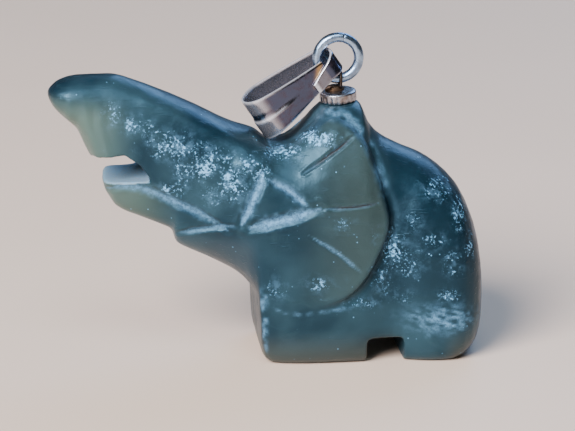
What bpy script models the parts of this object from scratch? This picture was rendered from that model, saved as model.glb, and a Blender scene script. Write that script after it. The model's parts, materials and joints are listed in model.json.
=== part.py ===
"""A carved jade elephant made into a pendant.

The elephant is one piece of nephrite with a blind hole drilled in its crown. A metal eye is cemented into that
hole through a fluted cap. A cut jump ring hangs in the eye, and a bail, folded from one tapered strip of sheet
metal, hangs on the jump ring for a chain to pass through.

Lengths are in millimetres and are turned to metres with MM. The elephant faces -X, stands on z = 0, and is
symmetric about y = 0.
"""

import math

import bmesh
import bpy
import numpy as np
from mathutils import Matrix, Vector

MM = 0.001
FIT_GAP = 0.04  # clearance between pieces that touch

# Elephant: side outline, as heights over x
TRUNK_TIP_X = -21.4
RUMP_X = 21.4
TOP_LINE = [
    (-21.4, 27.0), (-20.3, 28.0), (-18.2, 28.55), (-15.4, 28.5), (-12.8, 27.75), (-10.0, 26.6), (-7.2, 25.3),
    (-5.1, 24.2), (-3.2, 23.3), (-1.9, 22.9), (-1.1, 22.6), (-0.3, 22.0), (0.3, 21.6), (1.5, 21.6), (2.8, 22.3),
    (4.1, 23.7), (5.4, 25.2), (7.0, 25.8), (8.6, 25.7), (9.4, 25.0), (10.2, 23.1), (11.3, 21.9), (13.3, 20.8),
    (15.9, 19.6), (18.4, 17.6), (19.9, 15.3), (21.0, 12.0), (21.4, 8.0),
]  # fmt: skip
WIDEST_LINE = [
    (-21.4, 26.8), (-18.0, 25.6), (-16.0, 23.9), (-12.0, 22.4), (-8.0, 19.9), (-4.0, 16.9), (0.0, 14.4),
    (5.0, 12.4), (10.0, 11.4), (16.0, 9.4), (21.4, 6.9),
]  # fmt: skip
BOTTOM_LINE = [
    (-21.4, 26.6), (-20.9, 25.5), (-20.0, 24.5), (-19.0, 23.6), (-18.3, 22.8), (-18.0, 21.7), (-17.3, 20.4),
    (-16.3, 18.3), (-16.0, 17.1), (-15.3, 15.8), (-14.3, 15.05), (-12.7, 14.4), (-11.0, 13.7), (-9.5, 13.0),
    (-9.2, 11.8), (-7.5, 10.8), (-5.0, 9.55), (-2.8, 8.3), (-2.0, 7.6), (-1.25, 6.5), (-1.15, 2.2), (-0.95, 0.9),
    (-0.3, 0.1), (0.6, -0.2), (17.8, -0.2), (19.4, 0.1), (20.5, 0.9), (21.15, 2.6), (21.4, 6.0),
]  # fmt: skip
HALF_WIDTHS = [
    (-21.4, 0.8), (-21.0, 1.8), (-19.5, 2.9), (-16.0, 3.4), (-12.0, 3.8), (-8.0, 4.6), (-4.0, 5.6), (0.0, 6.6),
    (4.0, 7.1), (9.0, 6.85), (12.0, 6.35), (15.5, 7.2), (18.3, 7.3), (20.1, 6.4), (21.05, 4.9), (21.4, 3.0),
]  # fmt: skip
TOP_ROUNDING = [(-21.5, 2.1), (-10.0, 2.4), (-2.0, 2.5), (7.0, 2.1), (14.0, 2.2), (21.5, 2.3)]
BOTTOM_ROUNDING = [
    (-21.5, 2.1), (-17.5, 2.3), (-15.5, 3.6), (-9.5, 3.6), (-5.0, 2.6), (-3.0, 2.8), (-1.7, 4.0), (-1.2, 8.0),
    (-0.4, 9.0), (16.5, 9.0), (19.5, 5.5), (21.5, 3.0),
]  # fmt: skip
SECTION_POINTS = 48
SECTION_STEP = 0.9

# Elephant: the ears stand proud of the head, most at their rear edge
EAR_OUTLINE = [
    (1.8, 21.3), (4.2, 22.7), (6.4, 24.3), (8.0, 23.7), (9.5, 22.1), (10.9, 18.2), (11.6, 14.6), (10.0, 10.2),
    (6.6, 6.8), (1.6, 5.8), (-1.2, 8.4), (-1.6, 14.4), (-0.3, 19.2),
]  # fmt: skip
EAR_RELIEF = [(-3.0, -0.5), (2.6, -0.12), (11.6, 0.75), (13.0, 0.8)]

# Elephant: saw cuts and the drilled crown
MOUTH_OUTLINE = [
    (-19.5, 19.7), (-17.2, 20.6), (-14.1, 21.1), (-12.6, 20.0), (-11.5, 18.5), (-13.6, 18.3), (-16.2, 18.3),
    (-19.5, 18.3),
]  # fmt: skip
SLOT_X = (9.4, 13.1)
SLOT_HEIGHT = 2.55
SLOT_CORNER = 0.4
CUT_REACH = 20.0

# Metalwork: the eye's shank goes straight down into the crown, and the cap sits on a slanted flat
PEG_X = 7.2
CROWN_Z = 25.35
SEAT_LEAN = math.radians(-4.0)
SEAT_ROLL = math.radians(4.5)
SEAT_RADIUS = 2.15
CAP_RADIUS = 1.83
CAP_THICKNESS = 1.05
CAP_FLUTES = 18
CAP_FLUTE_DEPTH = 0.07
HOLE_RADIUS = 0.75
HOLE_DEPTH = 6.5
SHANK_RADIUS = 0.5
SHANK_DEPTH = 6.0
FOOT_RADIUS = 0.3
CAP_HOLE_RADIUS = 0.5
BEAD_X = 0.22
BEAD_RADIUS = 1.0
BEAD_HOLE_RADIUS = 0.66
BEAD_HEIGHT = 0.2

# Metalwork: the jump ring, and the eye that it hangs in
RING_X = 7.16
RING_Z = 29.66
RING_RADIUS = 2.06
RING_WIRE = 0.5
RING_SEAM_ANGLE = math.radians(75.6)
RING_SEAM_GAP = 0.05
EYE_FROM_RING = (0.22, -1.31)  # the eye's top bar, from the ring's centre
EYE_RADIUS = 0.84
EYE_NARROWING = 0.82  # the eye is an upright oval
EYE_WIRE = 0.16

# Metalwork: the bail, along u from the ring's centre to its round end, and across w
BAIL_ANGLE = math.radians(214.4)
BAIL_ROLL = math.radians(8.0)  # its upper opening is turned towards -y
BAIL_SHEET = 0.3
BAIL_BEND_U = 1.6
BAIL_NEAR_START_V = -0.93
BAIL_FAR_END_V = 1.4
BAIL_ROUND_U = 8.2
BAIL_ROUND_RADIUS = 1.95
BAIL_TAB_U = 3.45
BAIL_NARROW_HALF = 1.05
BAIL_WIDE_HALF = 2.05
BAIL_FAR_EXTRA = 0.55  # the far wall narrows less
BAIL_LOWER_FLARE = 0.45  # the lower rim flares out more than the upper one
BAIL_TAB_LAP = BAIL_SHEET + 0.06
BAIL_TAB_V = BAIL_NEAR_START_V - BAIL_TAB_LAP
BAIL_BEND_RADIUS = (BAIL_FAR_END_V - BAIL_TAB_V) / 2
BAIL_BEND_END_U = BAIL_BEND_U - BAIL_BEND_RADIUS
BAIL_TAB_TOP = 0.25  # how far the tab's tip stays below the strip's middle
BEND_STEPS = 12

JADE = (0.045, 0.095, 0.085)
STEEL = (0.62, 0.60, 0.60)
SOLDER = (0.30, 0.20, 0.13)
CEMENT = (0.55, 0.50, 0.38)


def clear_scene():
    for obj in list(bpy.data.objects):
        bpy.data.objects.remove(obj, do_unlink=True)


def principled(name, colour, roughness, metallic):
    made = bpy.data.materials.new(name)
    made.use_nodes = True
    shader = made.node_tree.nodes["Principled BSDF"]
    shader.inputs["Base Color"].default_value = (*colour, 1.0)
    shader.inputs["Roughness"].default_value = roughness
    shader.inputs["Metallic"].default_value = metallic
    return made


def add_object(name, bm, material=None, parent=None):
    """The bmesh as an object in the scene, its faces turned outwards."""
    bmesh.ops.recalc_face_normals(bm, faces=bm.faces)
    mesh = bpy.data.meshes.new(name)
    bm.to_mesh(mesh)
    bm.free()
    obj = bpy.data.objects.new(name, mesh)
    bpy.context.scene.collection.objects.link(obj)
    obj.parent = parent
    if material:
        mesh.materials.append(material)
        mesh.shade_smooth()
        mesh.set_sharp_from_angle(angle=math.radians(35.0))
    return obj


def helper(name, bm, parent=None):
    """A cutter or a guide, which isn't part of the object."""
    obj = add_object(name, bm, parent=parent)
    obj.hide_render = True
    obj.display_type = "WIRE"
    return obj


def guide_point(name):
    """An empty at the middle of the crown's flat."""
    empty = bpy.data.objects.new(name, None)
    empty.location = Vector((PEG_X, 0, CROWN_Z)) * MM
    bpy.context.scene.collection.objects.link(empty)
    return empty


def boolean(obj, operation, other):
    modifier = obj.modifiers.new(f"{operation.lower()}_{other.name}", "BOOLEAN")
    modifier.operation = operation
    modifier.object = other


def eased(points, at):
    """A curve through (x, value) points, read at x, that never swings past a point."""
    x, y = np.array(points, float).T
    step = np.diff(x)
    slope = np.diff(y) / step
    tangent = np.zeros(len(x))
    tangent[0], tangent[-1] = slope[0], slope[-1]
    same_way = slope[:-1] * slope[1:] > 0
    mean = 2.0 * slope[:-1] * slope[1:] / np.where(same_way, slope[:-1] + slope[1:], 1.0)
    tangent[1:-1] = np.where(same_way, mean, 0.0)
    i = int(np.clip(np.searchsorted(x, at) - 1, 0, len(step) - 1))
    t = (at - x[i]) / step[i]
    ends = (2 * t**3 - 3 * t**2 + 1) * y[i] + (3 * t**2 - 2 * t**3) * y[i + 1]
    bends = (t**3 - 2 * t**2 + t) * tangent[i] + (t**3 - t**2) * tangent[i + 1]
    return float(ends + bends * step[i])


def closed_curve(points, steps=6):
    """A smooth closed curve through the points, with this many steps between each two."""
    count = len(points)
    found = []
    for i in range(count):
        p0, p1, p2, p3 = (np.array(points[(i + k) % count], float) for k in (-1, 0, 1, 2))
        for t in np.arange(steps) / steps:
            straight = 2 * p1 + (p2 - p0) * t
            curved = (2 * p0 - 5 * p1 + 4 * p2 - p3) * t**2 + (3 * p1 - p0 - 3 * p2 + p3) * t**3
            found.append(tuple((straight + curved) / 2))
    return found


def skin(rings):
    """A closed skin over rings of as many points each, with a flat face on each end."""
    bm = bmesh.new()
    rows = [[bm.verts.new(Vector(p) * MM) for p in ring] for ring in rings]
    for row, following in zip(rows, rows[1:]):
        for i in range(len(row)):
            j = (i + 1) % len(row)
            bm.faces.new((row[i], row[j], following[j], following[i]))
    bm.faces.new(rows[0])
    bm.faces.new(rows[-1])
    return bm


def side_prism(outline, half_depth):
    """A prism across y over an outline of (x, z) points."""
    return skin([[(x, side * half_depth, z) for x, z in outline] for side in (-1, 1)])


def turned(profile, steps, closed=False, angle=2 * math.pi):
    """An (r, z) profile spun about z. A part turn has its two ends filled."""
    bm = bmesh.new()
    verts = [bm.verts.new((r * MM, 0.0, z * MM)) for r, z in profile]
    edges = [bm.edges.new(pair) for pair in zip(verts, verts[1:])]
    if closed:
        edges.append(bm.edges.new((verts[-1], verts[0])))
    whole = angle > 2 * math.pi - 1e-6
    bmesh.ops.spin(
        bm, geom=verts + edges, axis=(0, 0, 1), cent=(0, 0, 0), steps=steps, angle=angle, use_merge=whole
    )
    bmesh.ops.remove_doubles(bm, verts=bm.verts, dist=1e-7)
    bmesh.ops.holes_fill(bm, edges=[edge for edge in bm.edges if edge.is_boundary])
    return bm


def circle_profile(centre_r, radius, points):
    turns = (2 * math.pi * i / points for i in range(points))
    return [(centre_r + radius * math.cos(a), radius * math.sin(a)) for a in turns]


def body_section(x, relief):
    """The elephant's outline across y and z at x, rounder on top than at the feet."""
    top = eased(TOP_LINE, x)
    bottom = eased(BOTTOM_LINE, x)
    half_width = eased(HALF_WIDTHS, x) + relief
    widest = eased(WIDEST_LINE, x)
    ring = []
    for i in range(SECTION_POINTS):
        angle = 2 * math.pi * i / SECTION_POINTS
        across, up = math.cos(angle), math.sin(angle)
        power = 2.0 / eased(TOP_ROUNDING if up > 0 else BOTTOM_ROUNDING, x)
        y = half_width * math.copysign(abs(across) ** power, across)
        z = widest + (top - widest if up > 0 else widest - bottom) * math.copysign(abs(up) ** power, up)
        ring.append((x, y, z))
    return ring


def body_stations():
    """Where the sections stand: evenly, with more at both ends and where the outline steps."""
    even = np.arange(TRUNK_TIP_X + SECTION_STEP, RUMP_X - 1.2, SECTION_STEP)
    ends = [TRUNK_TIP_X, TRUNK_TIP_X + 0.2, TRUNK_TIP_X + 0.5, RUMP_X - 0.8, RUMP_X - 0.4, RUMP_X - 0.15, RUMP_X]
    steps = [-16.6, -16.3, -9.5, -9.2, -1.5, -1.3, -1.1, -0.7, -0.3, 0.1, 9.4, 9.8, 10.2]
    spots = sorted([*even, *ends, *steps])
    kept = [spots[0]]
    for x in spots[1:]:
        if x - kept[-1] > 0.14:
            kept.append(x)
    return kept


def carve_elephant(jade, peg, seat):
    stations = body_stations()
    elephant = add_object("jade_elephant", skin([body_section(x, 0.0) for x in stations]), jade)
    around_ears = [x for x in stations if -3.0 < x < 13.0]
    ears = helper("ear_skin", skin([body_section(x, eased(EAR_RELIEF, x)) for x in around_ears]))
    boolean(ears, "INTERSECT", helper("ear_outline", side_prism(closed_curve(EAR_OUTLINE), CUT_REACH)))
    boolean(elephant, "UNION", ears)
    boolean(elephant, "DIFFERENCE", helper("mouth_cut", side_prism(MOUTH_OUTLINE, CUT_REACH)))
    boolean(elephant, "DIFFERENCE", helper("leg_slot", side_prism(slot_outline(), CUT_REACH)))
    sole = [(-CUT_REACH * 2, 0.0), (CUT_REACH * 2, 0.0), (CUT_REACH * 2, -CUT_REACH), (-CUT_REACH * 2, -CUT_REACH)]
    boolean(elephant, "DIFFERENCE", helper("sole_cut", side_prism(sole, CUT_REACH)))
    drill = [(0, -HOLE_DEPTH), (HOLE_RADIUS, -HOLE_DEPTH), (HOLE_RADIUS, 2.0), (0, 2.0)]
    boolean(elephant, "DIFFERENCE", helper("crown_drill", turned(drill, 32), peg))
    flat = [(0, 0), (SEAT_RADIUS, 0), (SEAT_RADIUS, 2.0), (0, 2.0)]
    boolean(elephant, "DIFFERENCE", helper("crown_flat", turned(flat, 32), seat))
    return elephant


def slot_outline():
    """The saw cut between the front and rear legs, with its upper corners rounded."""
    left, right = SLOT_X
    outline = [(left, -1.0)]
    for centre, start in ((left + SLOT_CORNER, math.pi), (right - SLOT_CORNER, math.pi / 2)):
        for i in range(5):
            angle = start - i * math.pi / 8
            height = SLOT_HEIGHT - SLOT_CORNER + SLOT_CORNER * math.sin(angle)
            outline.append((centre + SLOT_CORNER * math.cos(angle), height))
    outline.append((right, -1.0))
    return outline


def add_cement(material, peg):
    """A cup of set cement that fills the hole around the eye's shank."""
    outer = HOLE_RADIUS - FIT_GAP
    inner = SHANK_RADIUS + FIT_GAP
    top = -0.2
    profile = [(0, -HOLE_DEPTH + FIT_GAP), (outer, -HOLE_DEPTH + FIT_GAP), (outer, top)]
    profile += [(inner, top), (inner, -SHANK_DEPTH - FIT_GAP), (0, -SHANK_DEPTH - FIT_GAP)]
    return add_object("peg_cement", turned(profile, 28), material, peg)


def add_cap(material, seat):
    """A shallow cap with a fluted skirt and a hole for the eye's foot."""
    levels = [
        (CAP_HOLE_RADIUS, FIT_GAP, 0.0),
        (CAP_RADIUS - 0.1, FIT_GAP, 1.0),
        (CAP_RADIUS, FIT_GAP + 0.1, 1.0),
        (CAP_RADIUS, CAP_THICKNESS * 0.55, 0.6),
        (CAP_RADIUS, CAP_THICKNESS - 0.14, 0.0),
        (CAP_RADIUS - 0.12, CAP_THICKNESS, 0.0),
        (CAP_HOLE_RADIUS, CAP_THICKNESS, 0.0),
    ]
    steps = CAP_FLUTES * 4
    rings = []
    for radius, height, fluted in levels:
        ring = []
        for i in range(steps):
            angle = 2 * math.pi * i / steps
            r = radius - fluted * CAP_FLUTE_DEPTH * (0.5 - 0.5 * math.cos(CAP_FLUTES * angle))
            ring.append((r * math.cos(angle), r * math.sin(angle), height))
        rings.append(ring)
    bm = skin([*rings, rings[0]])
    caps = [face for face in bm.faces if len(face.verts) > 4]
    bmesh.ops.delete(bm, geom=caps, context="FACES_ONLY")
    bmesh.ops.remove_doubles(bm, verts=bm.verts, dist=1e-7)
    return add_object("peg_cap", bm, material, seat)


def add_solder(material, seat):
    """A low ring of solder on the cap, around the eye's foot."""
    base = CAP_THICKNESS + FIT_GAP
    profile = [(BEAD_HOLE_RADIUS, base), (BEAD_RADIUS, base), (BEAD_RADIUS - 0.1, base + BEAD_HEIGHT * 0.7)]
    profile += [(BEAD_RADIUS - 0.2, base + BEAD_HEIGHT), (BEAD_HOLE_RADIUS, base + BEAD_HEIGHT)]
    bead = add_object("solder_bead", turned(profile, 28, closed=True), material, seat)
    bead.location.x = BEAD_X * MM
    return bead


def add_eye(material, peg):
    """A wire eye whose hole faces along x, on a ridged shank that goes down into the cement."""
    bar_x = RING_X + EYE_FROM_RING[0] - PEG_X
    bar_z = RING_Z + EYE_FROM_RING[1] - CROWN_Z
    loop = turned(circle_profile(EYE_RADIUS, EYE_WIRE, 12), 36, closed=True)
    bmesh.ops.rotate(loop, verts=loop.verts, cent=(0, 0, 0), matrix=Matrix.Rotation(math.pi / 2, 3, "Y"))
    bmesh.ops.scale(loop, verts=loop.verts, vec=(1.0, EYE_NARROWING, 1.0))
    bmesh.ops.translate(loop, verts=loop.verts, vec=Vector((bar_x, 0.0, bar_z - EYE_RADIUS)) * MM)
    eye = add_object("screw_eye", loop, material, peg)
    loop_bottom = bar_z - 2 * EYE_RADIUS
    profile = [(0, -SHANK_DEPTH), (SHANK_RADIUS * 0.7, -SHANK_DEPTH)]
    ridges = 6
    pitch = (SHANK_DEPTH - 0.8) / ridges
    for i in range(ridges):
        foot = -SHANK_DEPTH + 0.2 + i * pitch
        profile += [(SHANK_RADIUS, foot + pitch * 0.25), (SHANK_RADIUS, foot + pitch * 0.55)]
        profile += [(SHANK_RADIUS * 0.72, foot + pitch * 0.9)]
    profile += [(FOOT_RADIUS, -0.2), (FOOT_RADIUS, CAP_THICKNESS + 0.1)]
    stem = turned([*profile, (FOOT_RADIUS, loop_bottom), (0, loop_bottom)], 24)
    under_loop = [v for v in stem.verts if v.co.z > (loop_bottom - 0.01) * MM]
    bmesh.ops.translate(stem, verts=under_loop, vec=Vector((bar_x * MM, 0, 0)))
    boolean(eye, "UNION", helper("eye_stem", stem, peg))
    return eye


def add_ring(material):
    """A jump ring of round wire in the x-z plane, with the saw cut that it was opened by."""
    gap = RING_SEAM_GAP / RING_RADIUS
    bm = turned(circle_profile(RING_RADIUS, RING_WIRE, 14), 56, closed=True, angle=2 * math.pi - gap)
    ring = add_object("jump_ring", bm, material)
    # The seam's middle starts at half a gap before +X. The ring is stood up, then turned to the seam's angle.
    stand = Matrix.Rotation(math.pi / 2, 4, "X")
    turn = Matrix.Rotation(-RING_SEAM_ANGLE - gap / 2, 4, "Y")
    ring.matrix_world = Matrix.Translation(Vector((RING_X, 0, RING_Z)) * MM) @ turn @ stand
    return ring


def bail_rims(u, v):
    """How far the strip's upper and lower rims are from its middle line."""
    share = max(u - BAIL_BEND_U, 0.0) / (BAIL_ROUND_U + BAIL_ROUND_RADIUS - BAIL_BEND_U)
    upper = BAIL_NARROW_HALF + (BAIL_WIDE_HALF - BAIL_NARROW_HALF) * share
    farness = min(max(v / BAIL_FAR_END_V, 0.0), 1.0)
    return upper + BAIL_FAR_EXTRA * farness * (1 - share), upper + BAIL_LOWER_FLARE * share


def near_wall_v(u):
    """The near wall bows outwards from its loose end to the round end."""
    t = (u - BAIL_BEND_U) / (BAIL_ROUND_U - BAIL_BEND_U)
    return BAIL_NEAR_START_V - (BAIL_ROUND_RADIUS + BAIL_NEAR_START_V) * math.sin(t * math.pi / 2)


def bail_path():
    """The strip's middle line as (u, v), from the near wall's loose end, round by the far wall, to the tab's tip.

    The second thing given back is the index of the bend's outermost point, where the tab's taper starts.
    """
    path = [(u, near_wall_v(u)) for u in np.linspace(BAIL_BEND_U, BAIL_ROUND_U, 9)]
    for angle in np.linspace(-math.pi / 2, math.pi / 2, BEND_STEPS + 1)[1:]:
        path.append((BAIL_ROUND_U + BAIL_ROUND_RADIUS * math.cos(angle), BAIL_ROUND_RADIUS * math.sin(angle)))
    for t in np.linspace(0.0, 1.0, 8)[1:]:
        v = BAIL_ROUND_RADIUS + (BAIL_FAR_END_V - BAIL_ROUND_RADIUS) * (1 - math.cos(t * math.pi / 2))
        path.append((BAIL_ROUND_U + t * (BAIL_BEND_U - BAIL_ROUND_U), v))
    half_bend = BEND_STEPS // 2
    taper_start = len(path) + half_bend - 1
    for angle in np.linspace(math.pi / 2, 3 * math.pi / 2, BEND_STEPS + 1)[1:]:
        v = BAIL_TAB_V + BAIL_BEND_RADIUS * (1 + math.sin(angle))
        path.append((BAIL_BEND_U + BAIL_BEND_RADIUS * math.cos(angle), v))
    path += [(u, near_wall_v(u) - BAIL_TAB_LAP) for u in np.linspace(BAIL_BEND_U, BAIL_TAB_U, 4)[1:]]
    return path, taper_start


def add_bail(material):
    """One tapered strip folded into a flat loop, whose last stretch laps over its first as a pointed tab."""
    path, taper_start = bail_path()
    rings = []
    for i, (u, v) in enumerate(path):
        upper, lower = bail_rims(u, v)
        if i >= taper_start:
            taper = (u - BAIL_BEND_END_U) / (BAIL_TAB_U - BAIL_BEND_END_U)
            upper -= taper * (upper + BAIL_TAB_TOP)
        before, after = path[max(i - 1, 0)], path[min(i + 1, len(path) - 1)]
        along = Vector((after[0] - before[0], after[1] - before[1])).normalized()
        out = Vector((along.y, -along.x)) * BAIL_SHEET / 2
        rings.append([
            (u + out.x, v + out.y, -upper),
            (u + out.x, v + out.y, lower),
            (u - out.x, v - out.y, lower),
            (u - out.x, v - out.y, -upper),
        ])  # fmt: skip
    bail = add_object("bail", skin(rings), material)
    # Local x runs along u, local y across the loop, and local z down the strip's width.
    u_axis = Vector((math.cos(BAIL_ANGLE), 0, math.sin(BAIL_ANGLE)))
    w_axis = Vector((-math.sin(BAIL_ANGLE), 0, math.cos(BAIL_ANGLE)))
    frame = Matrix((u_axis, Vector((0, 1, 0)), w_axis)).transposed().to_4x4()
    roll = Matrix.Rotation(-BAIL_ROLL, 4, "X")
    bail.matrix_world = Matrix.Translation(Vector((RING_X, 0, RING_Z)) * MM) @ frame @ roll
    return bail


def main():
    clear_scene()
    jade = principled("jade", JADE, 0.3, 0.0)
    steel = principled("plated_steel", STEEL, 0.2, 1.0)
    solder = principled("solder", SOLDER, 0.45, 1.0)
    cement = principled("cement", CEMENT, 0.7, 0.0)
    peg = guide_point("peg_axis")
    seat = guide_point("cap_seat")
    seat.rotation_euler = (SEAT_ROLL, SEAT_LEAN, 0.0)
    carve_elephant(jade, peg, seat)
    add_cement(cement, peg)
    add_cap(steel, seat)
    add_solder(solder, seat)
    add_eye(steel, peg)
    add_ring(steel)
    add_bail(steel)


main()
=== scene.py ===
"""The looks of a carved jade elephant pendant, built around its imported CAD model.

Shapes are worked out in millimetres, and turned to metres with MM.
"""

import json
import math

import bmesh
import bpy
import numpy as np
from mathutils import Matrix, Vector


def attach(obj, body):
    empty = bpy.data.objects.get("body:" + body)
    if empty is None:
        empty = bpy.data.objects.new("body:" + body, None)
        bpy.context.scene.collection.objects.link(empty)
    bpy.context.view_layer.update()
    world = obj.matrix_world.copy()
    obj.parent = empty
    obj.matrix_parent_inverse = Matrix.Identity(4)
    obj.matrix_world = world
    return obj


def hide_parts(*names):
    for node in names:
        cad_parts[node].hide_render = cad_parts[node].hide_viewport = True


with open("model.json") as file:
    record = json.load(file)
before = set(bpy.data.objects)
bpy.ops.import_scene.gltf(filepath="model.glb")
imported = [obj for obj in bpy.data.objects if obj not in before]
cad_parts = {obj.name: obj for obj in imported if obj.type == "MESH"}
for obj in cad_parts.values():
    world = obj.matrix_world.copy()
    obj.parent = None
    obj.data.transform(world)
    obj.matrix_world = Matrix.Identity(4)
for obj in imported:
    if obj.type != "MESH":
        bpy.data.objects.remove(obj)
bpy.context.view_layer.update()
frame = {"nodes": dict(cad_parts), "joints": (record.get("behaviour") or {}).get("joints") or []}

MM = 0.001

# ---------------------------------------------------------------- the frame's own places

NODES = frame["nodes"]
JOINTS = {joint["name"]: joint for joint in frame["joints"]}
RING_CENTRE = Vector(JOINTS["bail_swing"]["pos_m"])

# ---------------------------------------------------------------- small tools


def link(name, mesh, material=None, smooth=True):
    obj = bpy.data.objects.new(name, mesh)
    bpy.context.scene.collection.objects.link(obj)
    if material:
        mesh.materials.clear()
        mesh.materials.append(material)
    if smooth:
        mesh.shade_smooth()
    return obj


def evaluated_mesh(obj):
    """The object's mesh with its modifiers applied, as a new mesh. The object is removed."""
    graph = bpy.context.evaluated_depsgraph_get()
    made = bpy.data.meshes.new_from_object(obj.evaluated_get(graph))
    bpy.data.objects.remove(obj, do_unlink=True)
    return made


def read_rows(items, name, width, kind=np.float64):
    """One property of every vertex or edge, as an array with a row for each."""
    found = np.empty(len(items) * width, kind)
    items.foreach_get(name, found)
    return found.reshape(-1, width)


def points_of(mesh):
    return read_rows(mesh.vertices, "co", 3)


def set_points(mesh, points):
    mesh.vertices.foreach_set("co", points.astype(np.float32).ravel())
    mesh.update()


def set_mask(mesh, name, values):
    layer = mesh.attributes.new(name, "FLOAT", "POINT")
    layer.data.foreach_set("value", np.clip(values, 0.0, 1.0).astype(np.float32))


def smoothstep(low, high, value):
    t = np.clip((value - low) / (high - low), 0.0, 1.0)
    return t * t * (3.0 - 2.0 * t)


def bell(offset, width):
    """1 where the offset is 0, falling smoothly to almost 0 at twice the width."""
    return np.exp(-((offset / width) ** 2))


def relaxed(points, edges, rounds, freedom, shrink, grow=0.0):
    """Points moved towards the mean of their neighbours by the share shrink, round after round.

    Each round ends with a move back out by the share grow, which keeps the size. The freedom of each point,
    from 0 to 1, says how much of each move it makes.
    """
    count = len(points)
    degree = np.bincount(edges.ravel(), minlength=count)[:, None]
    for _ in range(rounds):
        for share in (shrink, -grow):
            if share == 0.0:
                continue
            total = np.empty_like(points)
            for axis in range(3):
                column = points[:, axis]
                total[:, axis] = np.bincount(edges[:, 0], weights=column[edges[:, 1]], minlength=count)
                total[:, axis] += np.bincount(edges[:, 1], weights=column[edges[:, 0]], minlength=count)
            points = points + share * freedom[:, None] * (total / degree - points)
    return points


NOISE_SIZE = 64
NOISE_OFFSET = 1000.0  # chooses the part of the noise that falls on the object
FRACTAL_SPAN = 1.6


def value_noise(points, cell, seed):
    """Smooth noise from -1 to 1 at 3-D points, with features about a cell wide."""
    table = np.random.default_rng(seed).uniform(-1.0, 1.0, (NOISE_SIZE, NOISE_SIZE, NOISE_SIZE))
    place = points / cell + NOISE_OFFSET
    low = np.floor(place).astype(int)
    t = place - low
    t = t * t * (3.0 - 2.0 * t)
    total = np.zeros(len(points))
    for dx in (0, 1):
        for dy in (0, 1):
            for dz in (0, 1):
                weight = np.where(dx, t[:, 0], 1 - t[:, 0]) * np.where(dy, t[:, 1], 1 - t[:, 1])
                weight = weight * np.where(dz, t[:, 2], 1 - t[:, 2])
                i, j, k = ((low + (dx, dy, dz)) % NOISE_SIZE).T
                total += weight * table[i, j, k]
    return total


def fractal_noise(points, cell, seed):
    """Noise with features a cell wide, and half as strong ones half as wide."""
    return (value_noise(points, cell, seed) + value_noise(points, cell / 2, seed + 1) / 2) / FRACTAL_SPAN


def line_distance(flat, line):
    """How far each (x, z) point is from a broken line, and how far along the line it is, from 0 to 1."""
    best = np.full(len(flat), np.inf)
    along = np.zeros(len(flat))
    corners = np.array(line, float)
    lengths = np.linalg.norm(np.diff(corners, axis=0), axis=1)
    starts = np.concatenate([[0.0], np.cumsum(lengths)])
    for i, length in enumerate(lengths):
        direction = (corners[i + 1] - corners[i]) / length
        offset = flat - corners[i]
        t = np.clip(offset @ direction, 0.0, length)
        distance = np.linalg.norm(offset - t[:, None] * direction, axis=1)
        nearer = distance < best
        best[nearer] = distance[nearer]
        along[nearer] = (starts[i] + t[nearer]) / starts[-1]
    return best, along


def smooth_line(points, steps=8, closed=False):
    """A smooth curve through the points."""
    pts = [np.array(p, float) for p in points]
    count = len(pts)
    found = []
    for i in range(count if closed else count - 1):
        if closed:
            p0, p1, p2, p3 = (pts[(i + k) % count] for k in (-1, 0, 1, 2))
        else:
            p0, p1, p2, p3 = (pts[min(max(i + k, 0), count - 1)] for k in (-1, 0, 1, 2))
        for t in np.arange(steps) / steps:
            straight = 2 * p1 + (p2 - p0) * t
            curved = (2 * p0 - 5 * p1 + 4 * p2 - p3) * t**2 + (3 * p1 - p0 - 3 * p2 + p3) * t**3
            found.append((straight + curved) / 2)
    if not closed:
        found.append(pts[-1])
    return np.array(found)


def inside(flat, outline):
    """Whether each (x, z) point is inside a closed outline."""
    x, z = flat.T
    found = np.zeros(len(flat), bool)
    for (x0, z0), (x1, z1) in zip(outline, np.roll(outline, -1, axis=0)):
        if z0 == z1:
            continue
        crosses = ((z0 > z) != (z1 > z)) & (x < (x1 - x0) * (z - z0) / (z1 - z0) + x0)
        found ^= crosses
    return found


# ---------------------------------------------------------------- material nodes


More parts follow.
